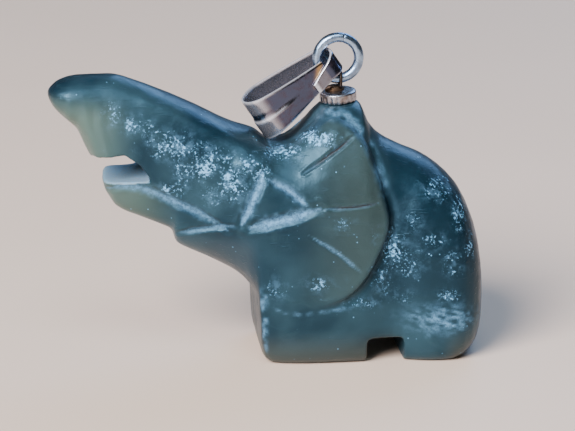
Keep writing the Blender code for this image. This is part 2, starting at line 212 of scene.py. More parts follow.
class Graph:
    """Short names for the shader nodes that the materials here are made of."""

    def __init__(self, name):
        self.material = bpy.data.materials.new(name)
        self.material.use_nodes = True
        self.tree = self.material.node_tree
        self.shader = self.tree.nodes["Principled BSDF"]
        coordinates = self.tree.nodes.new("ShaderNodeTexCoord")
        self.place = coordinates.outputs["Object"]

    def set(self, socket, value):
        """Links an output to the socket, or sets a plain value on it."""
        if isinstance(value, bpy.types.NodeSocket):
            self.tree.links.new(value, socket)
        else:
            socket.default_value = value

    def stretched(self, scale, rotation):
        made = self.tree.nodes.new("ShaderNodeMapping")
        made.inputs["Scale"].default_value = scale
        made.inputs["Rotation"].default_value = rotation
        self.set(made.inputs["Vector"], self.place)
        return made.outputs["Vector"]

    def noise(self, cell_mm, detail, roughness=0.55, distortion=0.0, place=None):
        made = self.tree.nodes.new("ShaderNodeTexNoise")
        self.set(made.inputs["Vector"], place or self.place)
        made.inputs["Scale"].default_value = 1.0 / (cell_mm * MM)
        made.inputs["Detail"].default_value = detail
        made.inputs["Roughness"].default_value = roughness
        made.inputs["Distortion"].default_value = distortion
        return made.outputs["Fac"]

    def cells(self, cell_mm):
        """How far each place is from the nearest of many scattered points."""
        made = self.tree.nodes.new("ShaderNodeTexVoronoi")
        self.set(made.inputs["Vector"], self.place)
        made.inputs["Scale"].default_value = 1.0 / (cell_mm * MM)
        return made.outputs["Distance"]

    def mask(self, name):
        made = self.tree.nodes.new("ShaderNodeAttribute")
        made.attribute_name = name
        return made.outputs["Fac"]

    def span(self, value, low, high, to_low=0.0, to_high=1.0):
        """The value taken from the range low..high to the range to_low..to_high, with soft ends."""
        made = self.tree.nodes.new("ShaderNodeMapRange")
        made.interpolation_type = "SMOOTHSTEP"
        self.set(made.inputs["Value"], value)
        for socket, number in zip(made.inputs[1:5], (low, high, to_low, to_high)):
            socket.default_value = number
        return made.outputs["Result"]

    def math(self, operation, *values):
        made = self.tree.nodes.new("ShaderNodeMath")
        made.operation = operation
        for socket, value in zip(made.inputs, values):
            self.set(socket, value)
        return made.outputs["Value"]

    def times(self, first, second):
        return self.math("MULTIPLY", first, second)

    def mix(self, share, first, second):
        made = self.tree.nodes.new("ShaderNodeMix")
        made.data_type = "RGBA"
        self.set(made.inputs["Factor"], share)
        for socket, colour in ((made.inputs[6], first), (made.inputs[7], second)):
            self.set(socket, colour if isinstance(colour, bpy.types.NodeSocket) else (*colour, 1.0))
        return made.outputs[2]

    def bump(self, height, depth_mm, strength, under=None):
        made = self.tree.nodes.new("ShaderNodeBump")
        made.inputs["Strength"].default_value = strength
        made.inputs["Distance"].default_value = depth_mm * MM
        self.set(made.inputs["Height"], height)
        if under:
            self.set(made.inputs["Normal"], under)
        return made.outputs["Normal"]

    def finish(self, **inputs):
        """Sets the shader's inputs, with _ for each space in their names, and gives back the material."""
        for name, value in inputs.items():
            self.set(self.shader.inputs[name.replace("_", " ")], value)
        return self.material


# ---------------------------------------------------------------- jade

JADE_DEEP = (0.005, 0.016, 0.026)
JADE_MID = (0.019, 0.046, 0.062)
JADE_MILKY = (0.034, 0.078, 0.092)
FROST = (0.17, 0.38, 0.60)
SPECK = (0.22, 0.53, 0.84)
STAIN = (0.030, 0.014, 0.006)
# The colour where each mask is set, laid over each other in this order: painted shade, the stone's olive and
# umber, painted glow where the stone is thin, and painted light
REGION_COLOURS = {
    "painted_shade": JADE_DEEP,
    "olive": (0.042, 0.064, 0.058),
    "umber": (0.050, 0.052, 0.042),
    "painted_glow": (0.090, 0.135, 0.112),
    "painted_light": (0.30, 0.36, 0.40),
}


def stone_colour(g):
    """Clouds of lighter and darker stone, and the regions that the masks mark, some of them painted shade,
    glow and light.
    """
    cloud = g.span(g.noise(9.0, 3.0, 0.5, 0.6), 0.38, 0.66)
    veil = g.span(g.noise(3.2, 4.0, 0.6, 1.4), 0.52, 0.78)
    colour = g.mix(cloud, JADE_DEEP, JADE_MID)
    colour = g.mix(g.times(veil, 0.25), colour, JADE_MILKY)
    for name, region_colour in REGION_COLOURS.items():
        colour = g.mix(g.mask(name), colour, region_colour)
    return colour


def bruises(g):
    """Clusters of small pits, pale where the stone is bruised, and the faint haze that they lie in."""
    here = g.mask("speck")
    patchy = g.times(g.noise(1.1, 2.0, 0.6), 0.30)
    fine = g.times(g.noise(0.26, 4.0, 0.65), 0.70)
    pits = g.math("ADD", g.math("ADD", fine, patchy), g.times(here, 0.13))
    bruised = g.times(g.span(pits, 0.597, 0.677), g.span(here, 0.08, 0.45))
    haze = g.times(g.span(g.noise(0.8, 4.0, 0.7), 0.45, 0.70), g.times(here, 0.45))
    return bruised, haze


def stray_pits(g):
    """Single pits, here and there all over the stone."""
    dots = g.span(g.cells(0.8), 0.12, 0.05)
    here = g.span(g.noise(2.4, 2.0), 0.50, 0.64)
    return g.times(g.times(dots, here), 0.75)


def stone_surface(g, dull):
    """Waves, long hairline scratches and grain, with the dull marks standing out a little."""
    surface = g.bump(g.noise(0.9, 3.0, 0.5), 0.05, 0.5)
    hairlines = g.noise(0.5, 2.0, 0.6, 0.0, g.stretched((0.12, 1.0, 1.4), (0.0, 0.6, 0.0)))
    surface = g.bump(g.span(hairlines, 0.60, 0.70), 0.025, 0.6, surface)
    surface = g.bump(g.noise(0.22, 3.0, 0.6), 0.020, 0.6, surface)
    return g.bump(dull, 0.05, 0.8, surface)


def jade_material():
    """Polished stone that lets a little light in, with unpolished tool marks and bruises."""
    g = Graph("jade")
    grain = g.span(g.noise(0.30, 4.0, 0.7), 0.32, 0.62, 0.30, 1.0)
    frost = g.times(g.mask("frost"), grain)
    bruised, haze = bruises(g)
    colour = g.mix(frost, stone_colour(g), FROST)
    colour = g.mix(haze, colour, FROST)
    colour = g.mix(bruised, colour, SPECK)
    colour = g.mix(stray_pits(g), colour, SPECK)
    colour = g.mix(g.mask("stain"), colour, STAIN)
    dull = g.math("MAXIMUM", frost, bruised)
    smear = g.span(g.noise(1.6, 3.0, 0.6), 0.35, 0.7, 0.0, 0.10)
    roughness = g.math("ADD", g.math("MULTIPLY_ADD", dull, 0.35, 0.30), smear)
    g.shader.subsurface_method = "RANDOM_WALK"
    return g.finish(
        Base_Color=colour,
        Roughness=roughness,
        Normal=stone_surface(g, dull),
        IOR=1.61,
        Specular_IOR_Level=0.34,
        Specular_Tint=(0.36, 0.74, 1.0, 1.0),
        Subsurface_Weight=0.25,
        Subsurface_Radius=(0.7, 1.15, 0.9),
        Subsurface_Scale=0.0014,
    )


# ---------------------------------------------------------------- elephant

VOXEL = 0.17
# Lines on the elephant's sides, as (x, z), and the same on both sides
EAR = [
    (1.8, 21.0), (4.2, 22.7), (6.4, 24.3), (8.0, 23.5), (9.6, 21.6), (10.8, 17.8), (11.6, 14.2), (10.6, 11.6),
    (8.6, 7.9), (6.2, 6.6), (3.2, 5.8), (0.3, 6.2),
]  # fmt: skip
EAR_REAR = [
    (5.2, 24.6), (6.6, 24.3), (8.2, 23.4), (9.7, 21.4), (10.7, 18.2), (11.6, 14.6), (10.8, 11.8), (8.7, 8.0),
    (6.2, 6.5), (3.0, 5.7),
]  # fmt: skip
EAR_RIDGE = [(-2.6, 20.3), (0.4, 20.9), (3.3, 22.0), (6.2, 23.0)]
CREST_LINE = [(-12.0, 26.2), (-6.8, 24.0), (-2.4, 21.7)]
MOUTH_LINE = [
    (-15.9, 17.6), (-13.9, 18.1), (-11.9, 17.6), (-9.9, 16.7), (-7.9, 15.8), (-5.9, 14.8), (-4.3, 13.7),
]  # fmt: skip
NECK_LINE = [(4.6, 24.9), (7.8, 24.2), (10.0, 21.0), (11.0, 17.4)]
UNDER_EAR_LINE = [(0.0, 5.9), (2.8, 5.4), (7.0, 5.9)]
# Cuts: (line, depth, width, frost, stain)
GROOVES = [
    ([(-0.7, 19.6), (-1.9, 17.0), (-3.0, 14.4)], 0.42, 0.40, 0.9, 0.0),
    ([(-0.4, 19.0), (1.6, 17.9), (3.4, 16.4)], 0.38, 0.34, 0.75, 0.0),
    ([(-2.2, 14.2), (1.2, 15.1), (4.6, 16.1)], 0.46, 0.48, 0.95, 0.0),
    (MOUTH_LINE, 0.36, 0.36, 0.6, 0.0),
    ([(-9.0, 13.2), (-6.9, 13.7), (-3.7, 14.3)], 0.34, 0.26, 0.6, 0.0),
    ([(3.1, 19.4), (5.6, 21.1), (8.0, 22.7)], 0.34, 0.17, 0.25, 1.0),
    ([(4.9, 16.1), (7.6, 16.2), (10.4, 16.5)], 0.30, 0.14, 0.25, 0.9),
    ([(3.5, 13.5), (6.2, 11.8), (8.6, 9.7)], 0.22, 0.14, 0.6, 0.0),
]
# Bruised places: (x, z, half length, half height, strength)
CLUSTERS = [
    (-15.3, 25.2, 1.0, 1.3, 0.50), (-13.2, 24.1, 1.3, 0.8, 0.60), (-11.4, 23.0, 1.1, 1.2, 0.60),
    (-9.4, 22.0, 2.2, 1.2, 1.0), (-6.6, 19.9, 1.5, 1.0, 1.0), (-8.6, 19.2, 0.9, 1.6, 0.7),
    (-3.8, 19.0, 1.4, 1.9, 0.95), (-2.4, 20.4, 1.2, 1.0, 0.8), (-9.6, 17.8, 1.8, 0.8, 0.5),
    (-1.0, 19.4, 1.0, 1.2, 0.6), (-6.4, 21.4, 1.8, 1.0, 0.7), (1.0, 21.0, 2.2, 0.7, 0.75),
    (4.6, 22.3, 2.0, 0.7, 0.95), (11.9, 11.9, 1.1, 1.8, 0.8), (10.8, 8.6, 1.0, 1.3, 0.7),
    (9.0, 6.4, 1.8, 0.6, 0.6), (16.6, 17.2, 1.8, 1.1, 0.6), (18.7, 14.9, 0.9, 1.7, 0.65),
    (17.8, 10.2, 1.1, 1.3, 0.45), (14.0, 14.4, 1.0, 1.2, 0.3), (13.4, 10.2, 1.3, 1.5, 0.55),
    (13.0, 6.9, 1.2, 0.8, 0.45), (16.0, 12.6, 1.3, 0.9, 0.4), (19.6, 11.8, 0.6, 1.6, 0.6),
    (10.0, 13.6, 0.4, 1.1, 0.5), (-6.0, 17.2, 1.2, 1.0, 0.5), (0.4, 8.0, 1.0, 1.0, 0.5),
    (4.6, 8.6, 1.5, 0.8, 0.4), (7.0, 14.6, 1.1, 0.8, 0.35), (17.4, 7.0, 1.0, 0.7, 0.6),
]  # fmt: skip
HIP_SCUFF = (16.9, 4.6, 3.2, 1.3)  # (x, z, half length, half height)
# Boxes as (low x, high x, low z, high z). Edges stay crisp in the first two.
SLOT_BOX = (9.2, 13.3, -1.0, 2.8)
JAW_BOX = (-16.5, -11.5, 17.9, 21.2)
JAW_RAISED_BOX = (-16.5, -11.0, 17.9, 18.7)
# where light is painted on the jaw's top
JAW_PAINTED_LIGHT_BOX = (-16.5, -12.0, 17.9, 18.9)
JAW_RAISE = 0.40
FOOT_BLUE_X = 15.0  # where the rear foot stays blue
MASKS = ("frost", "stain", "speck", "painted_glow", "olive", "painted_shade", "umber", "painted_light")


def near_box(points, box):
    """1 within the box, falling to 0 a little way outside it."""
    x0, x1, z0, z1 = box
    outside_x = np.maximum(np.maximum(x0 - points[:, 0], points[:, 0] - x1), 0.0)
    outside_z = np.maximum(np.maximum(z0 - points[:, 2], points[:, 2] - z1), 0.0)
    return smoothstep(0.7, 0.1, np.hypot(outside_x, outside_z))


def spread(flat, place):
    """How far each (x, z) point is from a place's middle, squared, where 1 is the edge of its ellipse."""
    x, z, long, high = place
    return ((flat[:, 0] - x) / long) ** 2 + ((flat[:, 1] - z) / high) ** 2


def jade_mesh():
    """The CAD elephant, remeshed finely enough to carve, in millimetres, with its facets smoothed away."""
    rough = NODES["jade_elephant"].data.copy()
    set_points(rough, points_of(rough) / MM)
    obj = link("elephant_rough", rough, smooth=False)
    remesh = obj.modifiers.new("remesh", "REMESH")
    remesh.mode = "VOXEL"
    remesh.voxel_size = VOXEL
    mesh = evaluated_mesh(obj)
    points = points_of(mesh)
    edges = read_rows(mesh.edges, "vertices", 2, np.int32)
    crisp = np.maximum(near_box(points, SLOT_BOX), near_box(points, JAW_BOX))
    crisp = np.maximum(crisp, smoothstep(0.5, 0.1, points[:, 2]))
    freedom = 1.0 - 0.8 * crisp
    points = relaxed(points, edges, 8, freedom, 0.5)
    points = relaxed(points, edges, 45, freedom, 0.55, 0.57)
    set_points(mesh, points)
    return mesh


class Skin:
    """The elephant's surface: each point's place and normal, how far it is to move out, and its masks."""

    def __init__(self, mesh):
        self.normals = read_rows(mesh.vertices, "normal", 3)
        self.edges = read_rows(mesh.edges, "vertices", 2, np.int32)
        self.place(points_of(mesh))
        self.sideways = np.abs(self.normals[:, 1])
        self.side = smoothstep(0.15, 0.45, self.sideways)
        self.height = np.zeros(len(self.points))
        self.masks = {name: np.zeros(len(self.points)) for name in MASKS}
        rim, self.along_rim = line_distance(self.flat, smooth_line(EAR_REAR))
        self.in_ear = inside(self.flat, smooth_line(EAR, closed=True))
        self.past_rim = np.where(self.in_ear, -rim, rim)

    def place(self, points):
        self.points = points
        self.flat = points[:, [0, 2]]
        self.x, self.z = self.flat.T

    def from_line(self, line):
        """How far each point is from a smooth line through the line's points."""
        return line_distance(self.flat, smooth_line(line))[0]

    def noise(self, cell, seed):
        return value_noise(self.points, cell, seed)

    def raise_mask(self, name, values):
        """Raises the mask to the values wherever they are higher than it is."""
        self.masks[name] = np.maximum(self.masks[name], values)


def carve_ridges(skin):
    """The ear's rim with a soft channel behind it, its rolled top, and the trunk's flattened crest."""
    channel = smoothstep(0.0, 0.15, skin.along_rim) * smoothstep(1.0, 0.65, skin.along_rim)
    skin.height -= 0.28 * channel * skin.side * bell(skin.past_rim - 0.35, 0.45)
    skin.height += 0.06 * skin.side * bell(skin.past_rim + 0.35, 0.4)
    skin.height += 0.32 * skin.side * bell(skin.from_line(EAR_RIDGE), 0.9)
    skin.height += 0.16 * smoothstep(0.1, 0.4, skin.sideways) * bell(skin.from_line(CREST_LINE), 0.7)


def carve_groove(skin, line, depth, width, frost, stain):
    """A cut groove that grows shallow towards its ends, with a small raised burr beside it."""
    distance, along = line_distance(skin.flat, smooth_line(line))
    wandering = distance + 0.25 * width * skin.noise(0.7, 31)
    taper = 0.30 + 0.70 * smoothstep(0.0, 0.25, along) * smoothstep(1.0, 0.75, along)
    skin.height -= depth * taper * skin.side * bell(wandering, width * (0.55 + 0.45 * taper))
    skin.height += 0.15 * depth * skin.side * bell(distance - 1.6 * width, 0.5 * width)
    ragged = 1.0 + 0.6 * skin.noise(0.35, 37)
    band = bell(wandering, 0.95 * width * taper) ** ragged
    skin.raise_mask("frost", frost * band * skin.side * (0.7 + 0.3 * taper))
    dirt = smoothstep(0.9 * width, 0.35 * width, distance) * smoothstep(0.12, 0.35, along)
    skin.raise_mask("stain", stain * dirt * smoothstep(1.0, 0.8, along) * skin.side)


def carve_waves(skin):
    """Shallow flutes at the trunk's end, and the gentle waves of hand polishing."""
    tip = smoothstep(-14.5, -16.5, skin.x) * smoothstep(26.8, 25.0, skin.z)
    flutes = np.sin(4.2 * skin.x + 0.8 * skin.z + 2.0 * skin.noise(2.0, 29))
    skin.height += 0.05 * tip * skin.side * flutes
    skin.height += 0.09 * fractal_noise(skin.points, 3.6, 5) * smoothstep(0.2, 1.0, skin.z)
    skin.height += 0.018 * fractal_noise(skin.points, 0.9, 11)


def carve_bruises(skin):
    """The bruised clusters, which are slightly pitted."""
    ragged = 1.0 + 0.5 * skin.noise(0.9, 17)
    for *place, strength in CLUSTERS:
        skin.raise_mask("speck", strength * np.exp(-spread(skin.flat, place) * ragged))
    skin.masks["speck"] *= smoothstep(0.05, 0.3, skin.sideways)
    skin.height -= 0.02 * skin.masks["speck"] * (1.0 + skin.noise(0.35, 23))


def move_out(skin):
    """Moves each point out along its normal, lifts the jaw's far side and keeps the soles flat."""
    points = skin.points + skin.normals * skin.height[:, None]
    raised = near_box(points, JAW_RAISED_BOX) * smoothstep(0.4, 0.8, skin.normals[:, 2])
    points[:, 2] += JAW_RAISE * raised * smoothstep(0.0, 3.0, points[:, 1])
    points[:, 2] = np.maximum(points[:, 2], 0.0)
    skin.place(relaxed(points, skin.edges, 1, np.ones(len(points)), 0.3))


def on_jaw(skin):
    return near_box(skin.points, JAW_PAINTED_LIGHT_BOX) * smoothstep(0.4, 0.8, skin.normals[:, 2])


def frost_skin(skin):
    """Fine scratches behind the ear and under it, on the chest and jaw, and the streaked scuff on the hip."""
    worn = smoothstep(-0.5, 0.7, skin.noise(0.6, 43))
    skin.raise_mask("frost", 0.50 * skin.side * worn * smoothstep(0.9, 0.1, skin.from_line(NECK_LINE)))
    chest = smoothstep(-0.2, -0.9, skin.x) * smoothstep(-2.4, -1.6, skin.x)
    chest *= smoothstep(8.4, 7.0, skin.z) * smoothstep(1.0, 2.0, skin.z)
    skin.raise_mask("frost", 0.80 * worn * chest * smoothstep(0.35, 0.75, skin.sideways))
    ragged = 1.0 + 0.5 * skin.noise(0.7, 47)
    scuff = np.exp(-ragged * spread(skin.flat, HIP_SCUFF) ** 1.5)
    drawn_out = skin.points * (0.30, 0.5, 1.6) + 0.4 * skin.x[:, None]
    streaks = smoothstep(-0.7, 0.5, value_noise(drawn_out, 0.45, 41))
    skin.raise_mask("frost", 0.72 * scuff * skin.side * streaks)
    under_ear, _ = line_distance(skin.flat, UNDER_EAR_LINE)
    skin.raise_mask("frost", 0.35 * worn * smoothstep(0.30, 0.05, under_ear) * skin.side)
    skin.raise_mask("frost", 0.5 * on_jaw(skin))


def shade_skin(skin):
    """Where the stone is olive or umber, and where glow, shade and light are painted on it."""
    # painted glow of light shining through the thin trunk end and the jaw's lower part
    skin.raise_mask("painted_glow", smoothstep(-12.5, -18.5, skin.x) * smoothstep(27.4, 24.5, skin.z))
    skin.raise_mask("painted_glow", 0.85 * smoothstep(-8.5, -14.5, skin.x) * smoothstep(18.8, 17.0, skin.z))
    within_rim = skin.in_ear * smoothstep(0.1, -0.8, skin.past_rim)
    skin.raise_mask("olive", 0.70 * within_rim * smoothstep(1.0, 9.0, skin.x))
    # painted shade on the body behind the ear, which turns away from the light
    skin.raise_mask("painted_shade", 0.90 * smoothstep(10.5, 12.5, skin.x) * smoothstep(3.0, 9.0, skin.z))
    off_blue = smoothstep(1.6, 3.6, np.abs(skin.x - FOOT_BLUE_X))
    skin.raise_mask("umber", 0.90 * off_blue * smoothstep(4.0, 0.3, skin.z))
    # painted light on the chin and lower neck
    skin.raise_mask("painted_light", 0.08 * smoothstep(-0.8, -3.0, skin.x) * smoothstep(13.8, 11.5, skin.z))
    # painted light on the jaw's top, which the trunk shades
    skin.raise_mask("painted_light", 0.8 * on_jaw(skin))


def make_elephant():
    mesh = jade_mesh()
    skin = Skin(mesh)
    carve_ridges(skin)
    for groove in GROOVES:
        carve_groove(skin, *groove)
    carve_waves(skin)
    carve_bruises(skin)
    move_out(skin)
    frost_skin(skin)
    shade_skin(skin)
    set_points(mesh, skin.points * MM)
    for name, values in skin.masks.items():
        set_mask(mesh, name, values)
    elephant = link("elephant_carving", mesh, jade_material())
    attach(elephant, "pendant")
    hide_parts("jade_elephant")


# ---------------------------------------------------------------- metals


def metal_material(name, colour, dark, roughness, grime, worn=None, painted_warm_reflection=None):
    """Plated metal with fine scratches and dark grime in patches. The worn colour, which also paints
    highlights, reflections and light, and the painted warm reflection's colour need masks.
    """
    g = Graph(name)
    patches = g.span(g.noise(0.8, 3.0, 0.6), 0.42, 0.70)
    tint = g.mix(g.times(patches, grime), colour, dark)
    metallic = 1.0
    if worn:
        # wear, and painted highlights, reflections and light
        tint = g.mix(g.mask("worn"), tint, worn)
        metallic = g.span(g.mask("worn"), 0.2, 0.9, 1.0, 0.45)
    if painted_warm_reflection:
        # painted warm reflection
        tint = g.mix(g.mask("painted_warm_reflection"), tint, painted_warm_reflection)
    scratches = g.noise(0.16, 2.0, 0.6, 0.0, g.stretched((1.0, 1.0, 0.12), (0.0, 0.9, 0.0)))
    marks = g.span(scratches, 0.58, 0.70)
    rough = g.math("ADD", g.math("MULTIPLY_ADD", patches, 0.16, roughness), g.times(marks, 0.12))
    surface = g.bump(g.noise(0.45, 2.0, 0.5), 0.02, 0.35)
    surface = g.bump(marks, 0.004, 0.5, surface)
    return g.finish(Base_Color=tint, Metallic=metallic, Roughness=rough, Normal=surface)


def grid_mesh(name, rows, closed_rows=False):
    """A closed skin over rings of points in metres. The first and last rings are filled unless they join."""
    bm = bmesh.new()
    made = [[bm.verts.new(p) for p in ring] for ring in rows]
    pairs = list(zip(made, made[1:]))
    if closed_rows:
        pairs.append((made[-1], made[0]))
    for row, following in pairs:
        for i in range(len(row)):
            j = (i + 1) % len(row)
            bm.faces.new((row[i], row[j], following[j], following[i]))
    if not closed_rows:
        bm.faces.new(made[0])
        bm.faces.new(made[-1])
    bmesh.ops.recalc_face_normals(bm, faces=bm.faces)
    mesh = bpy.data.meshes.new(name)
    bm.to_mesh(mesh)
    bm.free()
    return mesh


# ---------------------------------------------------------------- ring

RING_RADIUS = 2.06
RING_WIRE = 0.5
RING_SEAM_ANGLE = math.radians(75.6)
RING_SEAM_GAP = 0.05
RING_STEPS = 150
WIRE_STEPS = 24


def ring_section(angle, from_end):
    """The wire's outline at one angle round the ring, with burrs at its cut ends and a worn outside."""
    burr = 1.0 + 0.04 * bell(from_end, 0.10) - 0.08 * bell(from_end, 0.03)
    wave = 1.0 + 0.012 * math.sin(7 * angle) + 0.008 * math.sin(17 * angle + 1.0)
    wire = RING_WIRE * burr * wave
    section = []
    for k in range(WIRE_STEPS):
        turn = 2 * math.pi * k / WIRE_STEPS
        worn = 1.0 - 0.03 * max(math.cos(turn), 0.0) ** 4
        r = RING_RADIUS + wire * worn * math.cos(turn)
        offset = Vector((r * math.cos(angle), wire * math.sin(turn), r * math.sin(angle)))
        section.append(RING_CENTRE + offset * MM)
    return section


def make_ring(material):
    """Round wire bent into a ring, its two cut ends nearly meeting."""
    gap = RING_SEAM_GAP / RING_RADIUS
    rows = []
    for share in np.linspace(0.0, 1.0, RING_STEPS + 1):
        from_end = min(share, 1 - share) * 2 * math.pi * RING_RADIUS
        rows.append(ring_section(RING_SEAM_ANGLE + gap / 2 + share * (2 * math.pi - gap), from_end))
    ring = link("ring_wire", grid_mesh("ring_wire", rows), material)
    ring.data.set_sharp_from_angle(angle=math.radians(50))
    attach(ring, "ring")
    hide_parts("jump_ring")


# ---------------------------------------------------------------- bail

# u runs from the ring's centre to the round end, v across the loop, and w down the strip's width
BAIL_ANGLE = math.radians(214.4)
BAIL_ROLL = math.radians(8.0)
SHEET = 0.3
SHEET_EDGE = 0.07  # how far in from a rim the faces start to round over
BEND_U = 1.6
NEAR_START_V = -0.93
FAR_END_V = 1.4
ROUND_U = 8.2
ROUND_RADIUS = 1.95
TAB_U = 3.45
TAB_LAP = SHEET + 0.06
TAB_TOP = 0.25  # how far the tab's tip stays below the strip's middle
TAB_V = NEAR_START_V - TAB_LAP
BEND_RADIUS = (FAR_END_V - TAB_V) / 2
BEND_END_U = BEND_U - BEND_RADIUS
NARROW_HALF = 1.05
FAR_EXTRA = 0.55  # the far wall narrows less
WIDE_HALF = 2.05
LOWER_FLARE = 0.45  # the lower rim flares out more than the upper one
# How many steps each stretch of the path has, and how many go across the strip
NEAR_STEPS = 29
ROUND_STEPS = 32
FAR_STEPS = 19
BEND_STEPS = 28
TAB_STEPS = 8
ACROSS = 15


def near_wall_v(u):
    t = (u - BEND_U) / (ROUND_U - BEND_U)
    return NEAR_START_V - (ROUND_RADIUS + NEAR_START_V) * math.sin(t * math.pi / 2)


def half_turn(start, steps):
    """The angles of a half turn from the start angle, leaving out the start itself."""
    return np.linspace(start, start + math.pi, steps + 1)[1:]


def bail_path():
    """The strip's middle line as (u, v), and the indexes where its taper and its tab start."""
    path = [(u, near_wall_v(u)) for u in np.linspace(BEND_U, ROUND_U, NEAR_STEPS + 1)]
    for angle in half_turn(-math.pi / 2, ROUND_STEPS):
        path.append((ROUND_U + ROUND_RADIUS * math.cos(angle), ROUND_RADIUS * math.sin(angle)))
    for t in np.linspace(0.0, 1.0, FAR_STEPS + 1)[1:]:
        v = ROUND_RADIUS + (FAR_END_V - ROUND_RADIUS) * (1 - math.cos(t * math.pi / 2))
        path.append((ROUND_U + t * (BEND_U - ROUND_U), v))
    for angle in half_turn(math.pi / 2, BEND_STEPS):
        path.append((BEND_U + BEND_RADIUS * math.cos(angle), TAB_V + BEND_RADIUS * (1 + math.sin(angle))))
    tab_start = len(path)
    path += [(u, near_wall_v(u) - TAB_LAP) for u in np.linspace(BEND_U, TAB_U, TAB_STEPS + 1)[1:]]
    return path, tab_start - BEND_STEPS // 2, tab_start


def bail_rims(u, v, tapered):
    """How far the strip's upper and lower rims are from its middle."""
    share = max(u - BEND_U, 0.0) / (ROUND_U + ROUND_RADIUS - BEND_U)
    middle = NARROW_HALF + (WIDE_HALF - NARROW_HALF) * share
    upper = middle + FAR_EXTRA * min(max(v / FAR_END_V, 0.0), 1.0) * (1 - share)
    if tapered:
        upper -= (u - BEND_END_U) / (TAB_U - BEND_END_U) * (upper + TAB_TOP)
    return upper, middle + LOWER_FLARE * share


def crease_w(u):
    """Where the embossed crease runs across the strip's width."""
    return 0.15 + 0.06 * (u - 8.0)


def bail_wear_and_sheen(u, v, w, from_rim, on_tab):
    """How pale the outer face is, from wear and painted light: most at the rims (wear and painted
    highlights), the round end (a painted reflection, with painted shade above the crease) and the tab tip,
    with a painted highlight on the lip below the crease; least on the near wall.
    """
    # wear and painted highlights along the rims
    rim = smoothstep(0.16, 0.03, from_rim)
    # painted shade above the crease
    crease_shade = smoothstep(0.5, 0.0, abs(w - crease_w(u) + 0.3))
    # painted reflection on the round end
    end = smoothstep(7.9, 8.8, u) * (1.0 - 0.75 * crease_shade)
    # painted highlight on the lip below the crease
    lip_highlight = smoothstep(5.4, 7.4, u) * bell(w - crease_w(u) - 0.12, 0.09) * (v < 0)
    tip = smoothstep(2.9, 3.2, u) * on_tab
    return max(0.9 * rim, 0.50 * end, 0.9 * lip_highlight, 0.9 * tip, 0.25 * on_tab)


def inner_painted_light(from_rim):
    # painted light on the inner face, with painted highlights at its rims
    return max(0.9 * smoothstep(0.16, 0.03, from_rim), 0.40)


def bail_painted_reflection(u, w):
    """How much warm reflection is painted on the near wall's outer face, just in front of the tab's slanting
    edge.
    """
    beside = TAB_U - 1.1 + 0.85 * (w + TAB_TOP + 0.2)
    return bell(u - beside, 0.38) * smoothstep(0.9, 0.3, w)


def bail_emboss(u, v, w):
    """How far the strip is pushed out: its lower half stands proud near the round end."""
    near = smoothstep(4.4, 7.6, u) * (v < 0.6) * smoothstep(1.2, -0.6, v)
    step = smoothstep(crease_w(u) - 0.10, crease_w(u) + 0.12, w)
    return near * (0.17 * step - 0.07 * bell(w - crease_w(u), 0.16))


def bail_turn():
    """The turn and move from (u, v, w) to the frame's axes."""
    u_axis = Vector((math.cos(BAIL_ANGLE), 0, math.sin(BAIL_ANGLE)))
    w_axis = Vector((-math.sin(BAIL_ANGLE), 0, math.cos(BAIL_ANGLE)))
    turn = Matrix((u_axis, Vector((0, 1, 0)), w_axis)).transposed().to_4x4()
    return Matrix.Translation(RING_CENTRE) @ turn @ Matrix.Rotation(-BAIL_ROLL, 4, "X")


def make_bail(material):
    """The folded strip as a fine grid, with eased edges and an embossed step near its round end."""
    path, taper_start, tab_start = bail_path()
    rows, wear_and_sheen, painted_warmth = [], [], []
    for i, (u, v) in enumerate(path):
        upper, lower = bail_rims(u, v, i >= taper_start)
        before, after = path[max(i - 1, 0)], path[min(i + 1, len(path) - 1)]
        along = Vector((after[0] - before[0], after[1] - before[1])).normalized()
        section = []
        for face in (1, -1):
            for t in np.linspace(0.0, 1.0, ACROSS + 1)[::face]:
                w = -upper + t * (upper + lower)
                from_rim = min(t, 1 - t) * (upper + lower)
                rounded = 1 - min(from_rim / SHEET_EDGE, 1.0)
                half = SHEET / 2 - SHEET_EDGE * (1 - math.sqrt(1 - rounded**2))
                out = face * half + bail_emboss(u, v, w)
                section.append(Vector((u + along.y * out, v - along.x * out, w)) * MM)
                outer = face > 0
                wear_and_sheen.append(bail_wear_and_sheen(u, v, w, from_rim, i >= tab_start) if outer else inner_painted_light(from_rim))
                painted_warmth.append(bail_painted_reflection(u, w) if outer and i <= NEAR_STEPS else 0.0)
        rows.append(section)
    mesh = grid_mesh("bail_strip", rows)
    set_mask(mesh, "worn", np.array(wear_and_sheen))
    set_mask(mesh, "painted_warm_reflection", np.array(painted_warmth))
    mesh.transform(bail_turn())
    bail = link("bail_strip", mesh, material)
    bail.data.set_sharp_from_angle(angle=math.radians(60))
    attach(bail, "bail")
    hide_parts("bail")


# ---------------------------------------------------------------- cap, eye, solder

SEAT = Vector((7.2, 0.0, 25.35)) * MM
SEAT_LEAN = math.radians(-4.0)
SEAT_ROLL = math.radians(4.5)
SEAT_TILT = Matrix.Rotation(SEAT_LEAN, 4, "Y") @ Matrix.Rotation(SEAT_ROLL, 4, "X")
SEAT_TURN = Matrix.Translation(SEAT) @ SEAT_TILT
FLUTES = 18
FLUTE_DEPTH = 0.11
